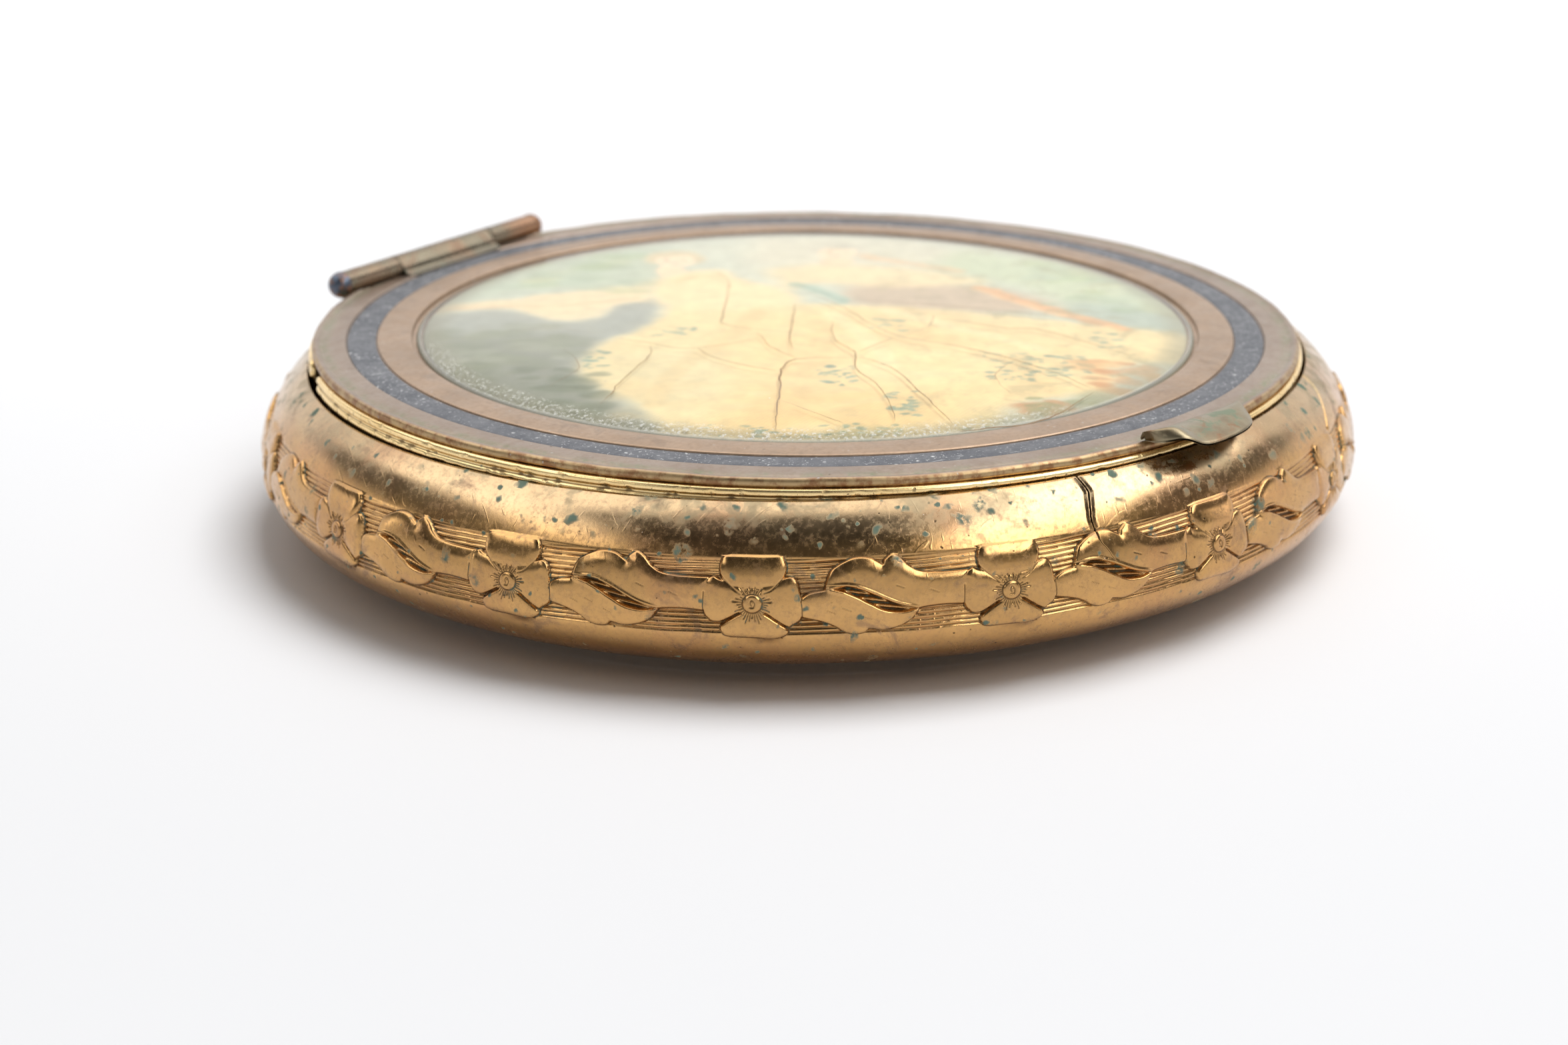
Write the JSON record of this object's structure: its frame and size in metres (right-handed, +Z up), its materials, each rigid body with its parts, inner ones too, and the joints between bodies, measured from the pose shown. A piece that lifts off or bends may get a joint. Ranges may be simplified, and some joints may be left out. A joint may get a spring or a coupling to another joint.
{
  "type": "powder compact",
  "caption": "Round pillow-shaped brass powder compact with a hinged lid, picture under a clear cover, mirror, pan, sifter and puff.",
  "frame": {"origin": "middle of the flat foot under the base, on the surface the compact stands on", "axes": "+Z up through the lid, +Y towards the hinge, so the front of the lid with its thumb tab is at -Y"},
  "size_m": [0.075, 0.075, 0.0145],
  "materials": {
    "aged_brass": "polished brass, worn and spotted with tarnish",
    "worn_brass": "dull brass",
    "gilt_brass": "bright gilt",
    "pin_steel": "dark steel",
    "dark_enamel": "matt dark enamel",
    "card": "printed card",
    "clear_cover": "clear yellowed cover with fine cracks",
    "mirror_glass": "silvered glass",
    "face_powder": "pressed powder",
    "puff_cloth": "velour and gauze",
    "satin": "satin"
  },
  "bodies": {
    "base": {"base_case": "aged_brass", "base_bottom": "worn_brass", "base_collar": "worn_brass", "base_hinge_leaf": "worn_brass", "hinge_pin": "pin_steel", "powder_pan": "worn_brass", "powder_cake": "face_powder", "sifter_ring": "worn_brass", "sifter_gauze": "puff_cloth", "puff_pad": "puff_cloth", "puff_top": "satin", "puff_ribbon": "satin"},
    "lid": {"lid_shell": "aged_brass", "enamel_band": "dark_enamel", "picture_card": "card", "picture_cover": "clear_cover", "lid_hinge_leaf": "aged_brass", "mirror_backing": "card", "mirror_glass": "mirror_glass", "mirror_ring": "gilt_brass", "thumb_tab": "aged_brass"}
  },
  "joints": [
    {"name": "lid_hinge", "type": "hinge", "parent": "base", "child": "lid", "pos_m": [0, 0.0328, 0.01367], "axis": [-1, 0, 0], "range_deg": [0, 105]}
  ]
}
